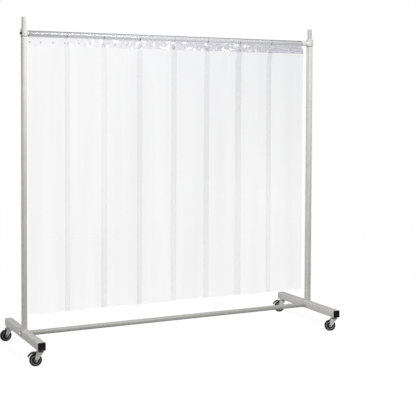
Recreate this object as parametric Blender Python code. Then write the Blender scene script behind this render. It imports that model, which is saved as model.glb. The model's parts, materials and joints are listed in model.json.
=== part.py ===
"""Mobile welding curtain screen: two castor feet, telescopic posts, a top rail and hanging PVC strips.

Metres, +Z up. X runs along the screen, -Y is its front. The origin is on the floor, under the middle
of the whole object. The castors trail towards -X, so the posts stand a little towards +X of it.
"""
import math

import bpy
import bmesh
from mathutils import Matrix, Vector

# Driving dimensions
GAP = 0.0003                    # clearance between touching pieces
POST_SPACING = 2.21             # between the two post axes
POSTS_MIDDLE_X = 0.025          # middle of the posts, which centres the object's box on the origin
CASTOR_HEIGHT = 0.102
FOOT_LENGTH = 0.79              # over both end caps
FOOT_SIZE = 0.050               # square tube
FOOT_WALL = 0.002
FOOT_CAP_LIP = 0.004
LOWER_POST_X = 0.028
LOWER_POST_Y = 0.048
LOWER_POST_WALL = 0.0012
UPPER_POST_SIZE = 0.025         # square tube that telescopes into the lower post
UPPER_POST_WALL = 0.0015
UPPER_POST_INSERT = 0.25
TOTAL_HEIGHT = 2.218
POST_CAP_LIP = 0.002
GUIDE_LIP = 0.002
TOP_RAIL_Z = 2.111
RAIL_RADIUS = 0.01685
RAIL_WALL = 0.002
COLLAR_X = 0.033
COLLAR_Y = 0.053
COLLAR_ABOVE_RAIL = 0.032
COLLAR_BELOW_RAIL = 0.021
STRIP_COUNT = 8
STRIP_PITCH = 0.263
CURTAIN_MIDDLE_X = POSTS_MIDDLE_X - 0.0225  # the strips are pushed up to the left collar
STRIP_WIDTH = 0.300
STRIP_THICKNESS = 0.002
STRIP_BOTTOM_Z = 0.252
LAYER_PITCH = 0.0024            # between the sheets that lie on each other: strip, flap, strip, flap
STUD_DROP = 0.057               # from the rail's axis down to the press studs
FLAP_DROP = 0.078               # from the rail's axis down to the end of the folded flap
SHOULDER_DROP = 0.080           # from the rail's axis down to the strip's full width
END_SHOULDER_TOP = 0.020        # where the notch starts on the curtain's right edge
CASTOR_INSET = 0.033            # from the foot's end to the castor's swivel axis
CASTOR_TRAIL = 0.030
WHEEL_RADIUS = 0.040
TYRE_WIDTH = 0.026
RIM_RADIUS = 0.029
TYRE_SIDES = 30                 # the tread's flats lie at the wheel's radius, and one is at the bottom
FORK_GAP = 0.034                # between the fork's legs
FORK_SHEET = 0.0025

FOOT_TOP = CASTOR_HEIGHT + FOOT_SIZE
FOOT_MIDDLE_Z = CASTOR_HEIGHT + FOOT_SIZE / 2
COLLAR_BOTTOM = TOP_RAIL_Z - COLLAR_BELOW_RAIL
COLLAR_TOP = TOP_RAIL_Z + COLLAR_ABOVE_RAIL
LOWER_POST_TOP = COLLAR_BOTTOM - 2 * GAP - GUIDE_LIP
BOLT_RADIUS = 0.005
BOLT_HOLE = BOLT_RADIUS + GAP
STEM_RADIUS = 0.006
AXLE_RADIUS = 0.004

SIDES = {"left": -1, "right": 1}
# each castor: side, end of the foot, angle of its trail from -X towards +Y, and whether it brakes
CASTORS = {
    "front_left": ("left", -1, 12.0, True),
    "back_left": ("left", 1, -6.0, False),
    "front_right": ("right", -1, 26.0, False),
    "back_right": ("right", 1, 26.0, True),
}


# Materials
def material(name, color, roughness, metallic=0.0, alpha=1.0):
    made = bpy.data.materials.new(name)
    made.use_nodes = True
    shader = made.node_tree.nodes["Principled BSDF"]
    shader.inputs["Base Color"].default_value = (*color, 1.0)
    shader.inputs["Roughness"].default_value = roughness
    shader.inputs["Metallic"].default_value = metallic
    shader.inputs["Alpha"].default_value = alpha
    made.diffuse_color = (*color, alpha)
    return made


# Small modelling tools
def finish_mesh(name, shape, look, smooth_below=40.0):
    """Turn a bmesh into a named object with its faces pointing out and round parts smooth."""
    bmesh.ops.remove_doubles(shape, verts=shape.verts, dist=1e-6)
    bmesh.ops.recalc_face_normals(shape, faces=shape.faces)
    mesh = bpy.data.meshes.new(name)
    shape.to_mesh(mesh)
    shape.free()
    mesh.materials.append(look)
    mesh.shade_smooth()
    mesh.set_sharp_from_angle(angle=math.radians(smooth_below))
    made = bpy.data.objects.new(name, mesh)
    bpy.context.scene.collection.objects.link(made)
    return made


def rounded_rectangle(width, height, radius, steps=2):
    """Corner points of a rectangle with round corners, anticlockwise about its middle."""
    points = []
    for quarter, (sx, sy) in enumerate(((1, 1), (-1, 1), (-1, -1), (1, -1))):
        for step in range(steps + 1):
            angle = math.radians(90 * (quarter + step / steps))
            points.append((sx * (width / 2 - radius) + radius * math.cos(angle),
                           sy * (height / 2 - radius) + radius * math.sin(angle)))
    return points


def prism(outline, low, high, hole=None):
    """A straight bar from z = low to z = high with the given outline, and an optional hole."""
    shape = bmesh.new()
    rings = []
    for loop in (outline, hole):
        if loop is None:
            continue
        rings.append([[shape.verts.new((x, y, z)) for x, y in loop] for z in (low, high)])
    for bottom, top in rings:
        count = len(bottom)
        for i in range(count):
            j = (i + 1) % count
            shape.faces.new((bottom[i], bottom[j], top[j], top[i]))
    if hole is None:
        shape.faces.new(rings[0][0])
        shape.faces.new(rings[0][1])
    else:
        for end in (0, 1):
            outer, inner = rings[0][end], rings[1][end]
            for i in range(len(outer)):
                j = (i + 1) % len(outer)
                shape.faces.new((outer[i], outer[j], inner[j], inner[i]))
    return shape


def lathe(profile, segments=24, closed=False):
    """Turn (radius, height) points about Z. Closed joins the last point to the first, for a ring."""
    shape = bmesh.new()
    rings = []
    for radius, height in profile:
        if radius == 0:
            rings.append([shape.verts.new((0, 0, height))])
            continue
        ring = []
        for k in range(segments):
            angle = 2 * math.pi * k / segments
            ring.append(shape.verts.new((radius * math.cos(angle), radius * math.sin(angle), height)))
        rings.append(ring)
    pairs = list(zip(rings, rings[1:]))
    if closed:
        pairs.append((rings[-1], rings[0]))
    for first, second in pairs:
        for k in range(segments):
            n = (k + 1) % segments
            corners = [first[k % len(first)], first[n % len(first)],
                       second[n % len(second)], second[k % len(second)]]
            shape.faces.new(list(dict.fromkeys(corners)))
    return shape


def turn(shape, axis_from_z):
    """Turn a shape made along Z so that it runs along X or Y, pointing the positive way."""
    angles = {"X": Matrix.Rotation(math.radians(90), 4, "Y"), "Y": Matrix.Rotation(math.radians(-90), 4, "X")}
    bmesh.ops.transform(shape, matrix=angles[axis_from_z], verts=shape.verts)
    return shape


def move(shape, x=0.0, y=0.0, z=0.0):
    bmesh.ops.translate(shape, vec=Vector((x, y, z)), verts=shape.verts)
    return shape


def combine(target, tool, operation):
    """Cut or join a second object, which stays in the file as a hidden guide."""
    tool.hide_render = True
    tool.display_type = "WIRE"
    modifier = target.modifiers.new(operation.lower() + "_" + tool.name, "BOOLEAN")
    modifier.operation = operation
    modifier.solver = "EXACT"
    modifier.object = tool


def cutter(name, shape, target):
    tool = finish_mesh(name, shape, guide_look)
    combine(target, tool, "DIFFERENCE")
    return tool


def post_x(side):
    return POSTS_MIDDLE_X + SIDES[side] * POST_SPACING / 2


# Feet
def make_foot(side):
    x = post_x(side)
    outline = rounded_rectangle(FOOT_SIZE, FOOT_SIZE, 0.004)
    inside = FOOT_SIZE - 2 * FOOT_WALL
    hole = rounded_rectangle(inside, inside, 0.002)
    half = FOOT_LENGTH / 2 - FOOT_CAP_LIP - GAP
    tube = finish_mesh("foot_tube_" + side, move(turn(prism(outline, -half, half, hole), "Y"),
                                                 x, 0, FOOT_MIDDLE_Z), frame_look)
    bore = move(turn(lathe([(0, -FOOT_SIZE), (BOLT_HOLE, -FOOT_SIZE), (BOLT_HOLE, FOOT_SIZE), (0, FOOT_SIZE)],
                           16), "X"), x, 0, FOOT_MIDDLE_Z)
    cutter("guide_foot_bolt_hole_" + side, bore, tube)
    for end in (-1, 1):
        stem_hole = STEM_RADIUS + GAP
        drill = lathe([(0, -0.01), (stem_hole, -0.01), (stem_hole, 0.01), (0, 0.01)], 16)
        move(drill, x, end * (FOOT_LENGTH / 2 - CASTOR_INSET), CASTOR_HEIGHT)
        cutter("guide_stem_hole_%s_%s" % (side, "front" if end < 0 else "back"), drill, tube)
        make_foot_cap(side, end, outline)


def make_foot_cap(side, end, outline):
    """A black end cap: a lip over the tube's end and a spigot that grips inside it."""
    name = "foot_cap_%s_%s" % ("front" if end < 0 else "back", side)
    lip = finish_mesh(name, prism(outline, 0, FOOT_CAP_LIP), plastic_look)
    inside = FOOT_SIZE - 2 * FOOT_WALL - 2 * GAP
    tail = finish_mesh("guide_" + name, prism(rounded_rectangle(inside, inside, 0.002), -0.012,
                                              FOOT_CAP_LIP / 2), guide_look)
    tip = Matrix.Translation((post_x(side), end * (FOOT_LENGTH / 2 - FOOT_CAP_LIP), FOOT_MIDDLE_Z))
    for piece in (lip, tail):
        piece.data.transform(tip @ Matrix.Rotation(math.radians(-90 * end), 4, "X"))
    combine(lip, tail, "UNION")


# Posts
def make_post(side):
    x = post_x(side)
    inside_x = LOWER_POST_X - 2 * LOWER_POST_WALL
    inside_y = LOWER_POST_Y - 2 * LOWER_POST_WALL
    lower = prism(rounded_rectangle(LOWER_POST_X, LOWER_POST_Y, 0.003), FOOT_TOP + GAP, LOWER_POST_TOP,
                  rounded_rectangle(inside_x, inside_y, 0.0012))
    finish_mesh("lower_post_" + side, move(lower, x), frame_look)

    make_guide(side, x, inside_x, inside_y)

    inside = UPPER_POST_SIZE - 2 * UPPER_POST_WALL
    top = TOTAL_HEIGHT - POST_CAP_LIP
    upper = prism(rounded_rectangle(UPPER_POST_SIZE, UPPER_POST_SIZE, 0.002),
                  LOWER_POST_TOP - UPPER_POST_INSERT, top - GAP, rounded_rectangle(inside, inside, 0.001))
    finish_mesh("upper_post_" + side, move(upper, x), frame_look)

    name = "upper_post_cap_" + side
    cap = finish_mesh(name, move(prism(rounded_rectangle(UPPER_POST_SIZE, UPPER_POST_SIZE, 0.002),
                                       top, TOTAL_HEIGHT), x), cap_look)
    plug_size = inside - 2 * GAP
    plug = finish_mesh("guide_" + name, move(prism(rounded_rectangle(plug_size, plug_size, 0.001),
                                                   top - 0.012, top + POST_CAP_LIP / 2), x), guide_look)
    combine(cap, plug, "UNION")


def make_guide(side, x, inside_x, inside_y):
    """The bush that fills the lower post's mouth, front and back of the upper post."""
    name = "post_guide_" + side
    bottom = LOWER_POST_TOP + GAP
    clearance = UPPER_POST_SIZE + 2 * GAP
    lip = finish_mesh(name, move(prism(rounded_rectangle(LOWER_POST_X, LOWER_POST_Y, 0.003), bottom,
                                       bottom + GUIDE_LIP), x), plastic_look)
    filler = prism(rounded_rectangle(inside_x - 4 * GAP, inside_y - 2 * GAP, 0.001), bottom - 0.02,
                   bottom + GUIDE_LIP / 2)
    combine(lip, finish_mesh("guide_filler_" + side, move(filler, x), guide_look), "UNION")
    mouth = prism(rounded_rectangle(clearance, clearance, 0.001), bottom - 0.03, bottom + 0.03)
    cutter("guide_mouth_" + side, move(mouth, x), lip)


# Top rail: collars that slide on the upper posts, clamp screws, spigots and the tube
def make_collar(side):
    x = post_x(side)
    out = SIDES[side]
    clearance = UPPER_POST_SIZE + 2 * GAP
    collar = prism(rounded_rectangle(COLLAR_X, COLLAR_Y, 0.003), COLLAR_BOTTOM, COLLAR_TOP,
                   rounded_rectangle(clearance, clearance, 0.001))
    collar = finish_mesh("rail_collar_" + side, move(collar, x), collar_look)
    thread = [(0, 0), (BOLT_HOLE, 0), (BOLT_HOLE, COLLAR_X), (0, COLLAR_X)]
    hole = turn(lathe(thread, 16), "X")
    if out < 0:
        move(hole, -COLLAR_X)
    cutter("guide_clamp_hole_" + side, move(hole, x, 0, TOP_RAIL_Z), collar)

    face = COLLAR_X / 2 + GAP
    tip = UPPER_POST_SIZE / 2 + GAP
    screw = lathe([(0, tip), (BOLT_RADIUS, tip), (BOLT_RADIUS, face), (0.0105, face), (0.0105, face + 0.002),
                   (0.0085, face + 0.002), (0.0085, face + 0.0085), (0.0070, face + 0.0100),
                   (0.0042, face + 0.0100), (0.0042, face + 0.0060), (0, face + 0.0060)], 18)
    point_outwards(screw, x, out, TOP_RAIL_Z)
    finish_mesh("collar_clamp_screw_" + side, screw, steel_look)

    start = COLLAR_X / 2 + GAP
    radius = RAIL_RADIUS - RAIL_WALL - GAP
    spigot = lathe([(0, start), (radius, start), (radius, start + 0.036), (radius - 0.002, start + 0.038),
                    (0, start + 0.038)], 20)
    point_outwards(spigot, x, -out, TOP_RAIL_Z)
    finish_mesh("rail_spigot_" + side, spigot, steel_look)


def point_outwards(shape, x, out, z):
    """Lay a shape turned about Z along X, starting at x and running towards +X or -X."""
    turn(shape, "X")
    if out < 0:
        bmesh.ops.transform(shape, matrix=Matrix.Rotation(math.pi, 4, "Z"), verts=shape.verts)
    move(shape, x, 0, z)


def make_rail(name, half_length, z, look):
    inner = RAIL_RADIUS - RAIL_WALL
    ring = lathe([(RAIL_RADIUS, -half_length), (RAIL_RADIUS, half_length), (inner, half_length),
                  (inner, -half_length)], 28, closed=True)
    finish_mesh(name, move(turn(ring, "X"), POSTS_MIDDLE_X, 0, z), look)


# Bottom rail: a tube between the feet, with a threaded plug in each end and a bolt through each foot
def make_bottom_fixing(side):
    x = post_x(side)
    out = SIDES[side]
    inner_face = FOOT_SIZE / 2 + GAP
    radius = RAIL_RADIUS - RAIL_WALL - GAP
    plug = lathe([(BOLT_HOLE, inner_face), (radius, inner_face), (radius, inner_face + 0.03),
                  (BOLT_HOLE, inner_face + 0.03)], 20, closed=True)
    point_outwards(plug, x, -out, FOOT_MIDDLE_Z)
    finish_mesh("bottom_rail_plug_" + side, plug, steel_look)

    face = FOOT_SIZE / 2 + GAP
    bolt = lathe([(0, -face - 0.025), (BOLT_RADIUS, -face - 0.025), (BOLT_RADIUS, face), (0.0115, face),
                  (0.0115, face + 0.0015), (0.0095, face + 0.002), (0.0088, face + 0.0045),
                  (0.0062, face + 0.0070), (0.0030, face + 0.0080), (0, face + 0.0080)], 18)
    point_outwards(bolt, x, out, FOOT_MIDDLE_Z)
    finish_mesh("foot_bolt_" + side, bolt, steel_look)


# Castors, made about their swivel axis with the trail towards -X, then turned and placed
def make_castor(name, side, end, trail_angle, brakes):
    place = Matrix.Translation((post_x(side), end * (FOOT_LENGTH / 2 - CASTOR_INSET), 0))
    place = place @ Matrix.Rotation(math.radians(-trail_angle), 4, "Z")
    pieces = [make_castor_mount(name), make_fork(name), make_axle(name), make_wheel(name), make_tyre(name)]
    if brakes:
        pieces.append(make_brake_pedal(name))
    for piece in pieces:
        for modifier in piece.modifiers:
            modifier.object.data.transform(place)
        piece.data.transform(place)


def make_castor_mount(name):
    """Top plate, threaded stem that goes up into the foot, and the fixed upper race."""
    top = CASTOR_HEIGHT - GAP
    plate = finish_mesh("castor_mount_" + name, prism(rounded_rectangle(0.050, 0.050, 0.005), top - 0.003,
                                                      top), zinc_look)
    stem = lathe([(0, top + 0.024), (STEM_RADIUS - 0.001, top + 0.024), (STEM_RADIUS, top + 0.023),
                  (STEM_RADIUS, top - 0.002), (0.0195, top - 0.002), (0.0205, top - 0.006),
                  (0.0190, top - 0.0085), (0, top - 0.0085)], 18)
    combine(plate, finish_mesh("guide_stem_" + name, stem, guide_look), "UNION")
    return plate


def make_fork(name):
    """Two bent legs under a round crown that carries the lower race."""
    crown_top = CASTOR_HEIGHT - 2 * GAP - 0.0085
    crown = finish_mesh("castor_fork_" + name, lathe(
        [(0, crown_top), (0.0180, crown_top), (0.0215, crown_top - 0.0025), (0.0215, crown_top - 0.0065),
         (0, crown_top - 0.0065)], 18), zinc_look)
    web_depth = 0.0045
    web = prism([(-0.024, -FORK_GAP / 2 - FORK_SHEET / 2), (0.015, -FORK_GAP / 2 - FORK_SHEET / 2),
                 (0.015, FORK_GAP / 2 + FORK_SHEET / 2), (-0.024, FORK_GAP / 2 + FORK_SHEET / 2)],
                crown_top - 0.0055, crown_top - 0.0055 + web_depth)
    combine(crown, finish_mesh("guide_fork_web_" + name, web, guide_look), "UNION")
    eye = 0.0105
    outline = [(0.0155, crown_top - 0.0015), (-0.0245, crown_top - 0.0015), (-0.0275, crown_top - 0.006)]
    first, last = math.radians(165), math.radians(325)
    for step in range(8):
        angle = first + (last - first) * step / 7
        outline.append((-CASTOR_TRAIL + eye * math.cos(angle), WHEEL_RADIUS + eye * math.sin(angle)))
    outline.append((0.0165, crown_top - 0.009))
    for leg_name, near in (("near", -FORK_GAP / 2 - FORK_SHEET), ("far", FORK_GAP / 2)):
        leg = prism(outline, -near - FORK_SHEET, -near)
        bmesh.ops.transform(leg, matrix=Matrix.Rotation(math.radians(90), 4, "X"), verts=leg.verts)
        combine(crown, finish_mesh("guide_fork_leg_%s_%s" % (leg_name, name), leg, guide_look), "UNION")
    bore = AXLE_RADIUS + GAP
    drill = lathe([(0, -0.04), (bore, -0.04), (bore, 0.04), (0, 0.04)], 12)
    cutter("guide_axle_hole_" + name, on_axle(drill), crown)
    return crown


def on_axle(shape):
    """Lay a shape turned about Z along the wheel's axle."""
    return move(turn(shape, "Y"), -CASTOR_TRAIL, 0, WHEEL_RADIUS)


def make_axle(name):
    """A bolt through both legs, with its head on one side and a nut on the other."""
    face = FORK_GAP / 2 + FORK_SHEET + GAP
    ends = [(0, -face - 0.0050), (0.0045, -face - 0.0050), (0.0066, -face - 0.0036), (0.0066, -face),
            (AXLE_RADIUS, -face), (AXLE_RADIUS, face), (0.0066, face), (0.0066, face + 0.0055),
            (AXLE_RADIUS, face + 0.0055), (AXLE_RADIUS, face + 0.0075), (0, face + 0.0075)]
    return finish_mesh("castor_axle_" + name, on_axle(lathe(ends, 12)), steel_look)


def make_wheel(name):
    """The wheel's body: a hub, a thin web and a rim."""
    bore = AXLE_RADIUS + GAP
    hub = FORK_GAP / 2 - 0.001
    rim = TYRE_WIDTH / 2 - 0.001
    half = [(bore, hub), (0.0110, hub), (0.0130, 0.0045), (0.0240, 0.0045),
            (0.0255, rim), (RIM_RADIUS, rim)]
    profile = half + [(radius, -height) for radius, height in reversed(half)]
    return finish_mesh("castor_wheel_" + name, on_axle(lathe(profile, 20, closed=True)), wheel_look)


def make_tyre(name):
    """A rubber tread whose shoulders are rounded by quarter arcs."""
    corner = 1 / math.cos(math.pi / TYRE_SIDES)
    inner = (RIM_RADIUS + GAP) * corner
    half = TYRE_WIDTH / 2
    shoulder = 0.005
    straight = WHEEL_RADIUS - shoulder
    profile = [(inner, -half), (straight * corner, -half)]
    for step in range(1, 3):
        angle = math.radians(90 * step / 2)
        profile.append(((straight + shoulder * math.sin(angle)) * corner, -half + shoulder
                        - shoulder * math.cos(angle)))
    profile += [(radius, -height) for radius, height in reversed(profile)]
    return finish_mesh("castor_tyre_" + name, on_axle(lathe(profile, TYRE_SIDES, closed=True)), tyre_look)


def make_brake_pedal(name):
    """A bent lever between the fork's legs that presses a shoe on the tyre and reaches past the wheel."""
    path = [(-0.0270, 0.0865), (-0.0420, 0.0895), (-0.0580, 0.0860), (-0.0695, 0.0765), (-0.0790, 0.0640)]
    sheet = 0.003
    above, below = [], []
    for i, (x, z) in enumerate(path):
        back, ahead = path[max(i - 1, 0)], path[min(i + 1, len(path) - 1)]
        along = Vector((ahead[0] - back[0], ahead[1] - back[1])).normalized()
        above.append((x + along.y * sheet / 2, z - along.x * sheet / 2))
        below.append((x - along.y * sheet / 2, z + along.x * sheet / 2))
    shoe_bottom = 2 * WHEEL_RADIUS + GAP
    shoe = [(-0.0340, below[1][1] - 0.0025), (-0.0340, shoe_bottom), (-0.0290, shoe_bottom)]
    outline = [below[0]] + above + below[:0:-1] + shoe
    half_width = FORK_GAP / 2 - 0.004
    pedal = prism(outline, -half_width, half_width)
    bmesh.ops.transform(pedal, matrix=Matrix.Rotation(math.radians(90), 4, "X"), verts=pedal.verts)
    return finish_mesh("castor_brake_pedal_" + name, pedal, zinc_look, 30.0)


# Curtain strips: each is one flat sheet folded over the rail and closed behind by press studs
def edge(drop, place):
    """Half the strip's width at a drop below the rail's axis. Notches let the loops sit side by side.

    Place is inner, or first or last for the curtain's own two edges. The first is cut straight.
    """
    narrow = (STRIP_PITCH - 0.001) / 2
    if place == "first":
        return narrow
    wide = STRIP_WIDTH / 2
    start, end = (END_SHOULDER_TOP, STUD_DROP) if place == "last" else (STUD_DROP, SHOULDER_DROP)
    share = min(max((drop - start) / (end - start), 0.0), 1.0)
    return narrow + (wide - narrow) * share


def tangent_angle(y, radius, side):
    """Angle about the rail at which a line from the studs touches the loop, in front or behind."""
    towards = math.atan2(-STUD_DROP, y)
    spread = math.acos(radius / math.hypot(y, STUD_DROP))
    return towards + 2 * math.pi - spread if side < 0 else towards + spread


def loop_path(sheet):
    """Centre line of a strip from its bottom edge, over the rail and down to the end of its flap.

    The points are (y, drop below the rail's axis). The flap lies behind the sheet, which hangs at y = sheet.
    """
    radius = RAIL_RADIUS + GAP + STRIP_THICKNESS / 2
    flap = sheet + LAYER_PITCH
    path = [(sheet, TOP_RAIL_Z - STRIP_BOTTOM_Z), (sheet, SHOULDER_DROP), (sheet, STUD_DROP)]
    front = tangent_angle(sheet, radius, -1)
    back = tangent_angle(flap, radius, 1)
    tip = (radius * math.cos(front), -radius * math.sin(front))
    path += [((sheet * (1 - share) + tip[0] * share), STUD_DROP + (tip[1] - STUD_DROP) * share)
             for share in (0.35, 0.7)]
    steps = 12
    for step in range(steps + 1):
        angle = front + (back - front) * step / steps
        path.append((radius * math.cos(angle), -radius * math.sin(angle)))
    tip = path[-1]
    path += [((flap * share + tip[0] * (1 - share)), STUD_DROP * share + tip[1] * (1 - share))
             for share in (0.3, 0.65)]
    path += [(flap, STUD_DROP), (flap, FLAP_DROP)]
    return path


def make_strip(number):
    """Even strips hang in the front layer, odd ones behind them."""
    sheet = -1.5 * LAYER_PITCH if number % 2 == 0 else 0.5 * LAYER_PITCH
    middle = CURTAIN_MIDDLE_X + (number - (STRIP_COUNT + 1) / 2) * STRIP_PITCH
    path = loop_path(sheet)
    shape = bmesh.new()
    sections = []
    for i, (y, drop) in enumerate(path):
        back, ahead = path[max(i - 1, 0)], path[min(i + 1, len(path) - 1)]
        along = Vector((ahead[0] - back[0], back[1] - ahead[1])).normalized()
        out = Vector((-along.y, along.x)) * STRIP_THICKNESS / 2
        left = -edge(drop, "first" if number == 1 else "inner")
        right = edge(drop, "last" if number == STRIP_COUNT else "inner")
        sections.append([shape.verts.new((middle + side, y + sy * out.x, TOP_RAIL_Z - drop + sy * out.y))
                         for side, sy in ((left, -1), (right, -1), (right, 1), (left, 1))])
    for first, second in zip(sections, sections[1:]):
        for k in range(4):
            n = (k + 1) % 4
            shape.faces.new((first[k], first[n], second[n], second[k]))
    shape.faces.new(sections[0])
    shape.faces.new(sections[-1])
    return finish_mesh("curtain_strip_%d" % number, shape, strip_look, 30.0)


for left_over in list(bpy.data.objects):
    bpy.data.objects.remove(left_over, do_unlink=True)

frame_look = material("powder_coat", (0.62, 0.61, 0.58), 0.45)
collar_look = material("collar_coat", (0.70, 0.70, 0.69), 0.45)
cap_look = material("grey_cap", (0.55, 0.55, 0.54), 0.5)
plastic_look = material("black_plastic", (0.02, 0.02, 0.02), 0.45)
steel_look = material("fastener_steel", (0.45, 0.45, 0.44), 0.35, 1.0)
zinc_look = material("zinc_plate", (0.62, 0.63, 0.60), 0.4, 1.0)
wheel_look = material("wheel_plastic", (0.05, 0.05, 0.05), 0.4)
tyre_look = material("tyre_rubber", (0.02, 0.02, 0.02), 0.7)
strip_look = material("clear_pvc", (0.90, 0.91, 0.95), 0.1, 0.0, 0.4)
guide_look = material("guide", (1.0, 0.2, 0.2), 1.0)

for side in SIDES:
    make_foot(side)
    make_post(side)
    make_collar(side)
    make_bottom_fixing(side)
make_rail("top_rail_tube", POST_SPACING / 2 - COLLAR_X / 2 - GAP, TOP_RAIL_Z, frame_look)
make_rail("bottom_rail_tube", POST_SPACING / 2 - FOOT_SIZE / 2 - GAP, FOOT_MIDDLE_Z, frame_look)
for castor, (side, end, trail_angle, brakes) in CASTORS.items():
    make_castor(castor, side, end, trail_angle, brakes)
for number in range(1, STRIP_COUNT + 1):
    make_strip(number)
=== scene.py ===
# %% [markdown]
# # A mobile welding screen
# A welding screen keeps sparks and glare away from the next workplace. This one is a steel frame on four
# castors: two feet, two telescopic posts, a rail below and a rail above. Eight strips of clear soft
# plastic are folded over the upper rail, and press studs close their loops.
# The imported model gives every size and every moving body. The cells below put the looks on it.

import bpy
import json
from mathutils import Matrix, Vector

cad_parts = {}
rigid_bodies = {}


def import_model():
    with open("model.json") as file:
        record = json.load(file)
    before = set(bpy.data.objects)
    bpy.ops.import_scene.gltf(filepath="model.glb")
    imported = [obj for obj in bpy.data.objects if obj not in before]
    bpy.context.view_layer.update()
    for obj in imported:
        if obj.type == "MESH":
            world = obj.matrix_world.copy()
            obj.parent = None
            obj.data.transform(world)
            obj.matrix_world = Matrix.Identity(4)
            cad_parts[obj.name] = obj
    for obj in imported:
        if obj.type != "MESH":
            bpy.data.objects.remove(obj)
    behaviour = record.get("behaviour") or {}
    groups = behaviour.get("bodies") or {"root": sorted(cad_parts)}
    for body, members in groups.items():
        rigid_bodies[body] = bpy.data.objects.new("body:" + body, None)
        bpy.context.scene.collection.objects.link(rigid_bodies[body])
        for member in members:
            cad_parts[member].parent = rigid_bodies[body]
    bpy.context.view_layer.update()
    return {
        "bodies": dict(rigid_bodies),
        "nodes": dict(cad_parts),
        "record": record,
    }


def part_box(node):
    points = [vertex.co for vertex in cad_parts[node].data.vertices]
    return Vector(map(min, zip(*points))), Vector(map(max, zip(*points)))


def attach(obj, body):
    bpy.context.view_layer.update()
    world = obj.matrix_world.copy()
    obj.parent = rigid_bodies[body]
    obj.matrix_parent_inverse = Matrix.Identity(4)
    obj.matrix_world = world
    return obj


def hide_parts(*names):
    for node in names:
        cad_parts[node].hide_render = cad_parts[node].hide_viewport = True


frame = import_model()

# %% Names used all through
import json
import math

import bpy
from mathutils import Matrix, Vector, noise

joints = {joint["name"]: joint for joint in frame["record"]["behaviour"]["joints"]}

# %% [markdown]
# ## Camera
# A viewer stands some six metres in front of the screen and to its left, with the eye lower than the upper
# rail, and looks to the right and very slightly down. The lens is fairly long and hardly tilted, so the
# two posts stay nearly parallel. The view is moved down by lens shift instead of tilting the camera more.

# %% Camera
focal_widths = 2.3415865                 # focal length, in widths of the view
viewer_at = (-2.865, -6.268, 1.657)
turned_right, tilted_up, rolled = (math.radians(angle) for angle in (26.60, -1.99, 0.27))

camera_data = bpy.data.cameras.new("viewer")
camera_data.sensor_width = 36
camera_data.lens = focal_widths * camera_data.sensor_width
camera_data.shift_y = -0.1704
camera_data.clip_end = 100
camera = bpy.data.objects.new("viewer", camera_data)
bpy.context.scene.collection.objects.link(camera)
camera.matrix_world = (Matrix.Translation(viewer_at)
                       @ Matrix.Rotation(-turned_right, 4, "Z")
                       @ Matrix.Rotation(math.radians(90) + tilted_up, 4, "X")
                       @ Matrix.Rotation(rolled, 4, "Z"))
bpy.context.scene.camera = camera
print("lens %.1f mm" % camera_data.lens)

# %% [markdown]
# ## Floor and light
# Clear film only shows against a plain bright ground, so floor and surroundings look white, and the floor
# fades out into the surroundings without a horizon line. That white is only for rays from the camera. All
# other rays meet a studio: pale above and to the left, dim towards the viewer, and a floor that is dark in
# front and pale behind. It gives the tubes a light and a darker side. One lamp hangs in front, higher than
# the upper rail, so the posts get darker towards the floor.

# %% Floor
def nodes_of(finish):
    """Switch a material to nodes and return its node list, its links and its main shader."""
    finish.use_nodes = True
    tree = finish.node_tree
    return tree.nodes, tree.links, tree.nodes["Principled BSDF"]


def rest():
    """Leave edit mode and select nothing, because an operator acts on all that is selected."""
    if bpy.context.object and bpy.context.object.mode != "OBJECT":
        bpy.ops.object.mode_set(mode="OBJECT")
    bpy.ops.object.select_all(action="DESELECT")


rest()
bpy.ops.mesh.primitive_circle_add(vertices=96, radius=14, fill_type="NGON", location=(0, 0, 0))
floor = bpy.context.object
floor.name = "floor"
floor_paint = bpy.data.materials.new("floor_paint")
nodes, links, shader = nodes_of(floor_paint)
shader.inputs["Roughness"].default_value = 0.9
shader.inputs["Emission Color"].default_value = (1, 1, 1, 1)
shader.inputs["Specular IOR Level"].default_value = 0.1
place = nodes.new("ShaderNodeTexCoord")
reach = nodes.new("ShaderNodeVectorMath")
reach.operation = "LENGTH"
fade = nodes.new("ShaderNodeMapRange")
fade.interpolation_type = "SMOOTHSTEP"
solid_to, gone_at = 2.0, 12.0            # metres from the middle of the floor
fade.inputs["From Min"].default_value = solid_to
fade.inputs["From Max"].default_value = gone_at
fade.inputs["To Min"].default_value = 1.0
fade.inputs["To Max"].default_value = 0.0
links.new(place.outputs["Object"], reach.inputs[0])
links.new(reach.outputs["Value"], fade.inputs["Value"])
links.new(fade.outputs["Result"], shader.inputs["Alpha"])
ray = nodes.new("ShaderNodeLightPath")
glow = nodes.new("ShaderNodeMath")
glow.operation = "MULTIPLY"
glow.inputs[1].default_value = 0.93
links.new(ray.outputs["Is Camera Ray"], glow.inputs[0])
links.new(glow.outputs["Value"], shader.inputs["Emission Strength"])
paper = nodes.new("ShaderNodeMix")
paper.data_type = "RGBA"
paper.inputs["B"].default_value = (0.08, 0.08, 0.08, 1)
depth = nodes.new("ShaderNodeSeparateXYZ")
bounce = nodes.new("ShaderNodeValToRGB")
bounce.color_ramp.elements[0].position, bounce.color_ramp.elements[0].color = 0.38, (0.06, 0.055, 0.05, 1)
bounce.color_ramp.elements[1].position, bounce.color_ramp.elements[1].color = 0.52, (0.62, 0.61, 0.60, 1)
front_to_back = nodes.new("ShaderNodeMapRange")
front_to_back.inputs["From Min"].default_value = -7.0
front_to_back.inputs["From Max"].default_value = 7.0
links.new(place.outputs["Object"], depth.inputs["Vector"])
links.new(depth.outputs["Y"], front_to_back.inputs["Value"])
links.new(front_to_back.outputs["Result"], bounce.inputs["Fac"])
links.new(bounce.outputs["Color"], paper.inputs["A"])
links.new(ray.outputs["Is Camera Ray"], paper.inputs["Factor"])
links.new(paper.outputs["Result"], shader.inputs["Base Color"])
floor.data.materials.append(floor_paint)
print("floor made")

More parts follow.
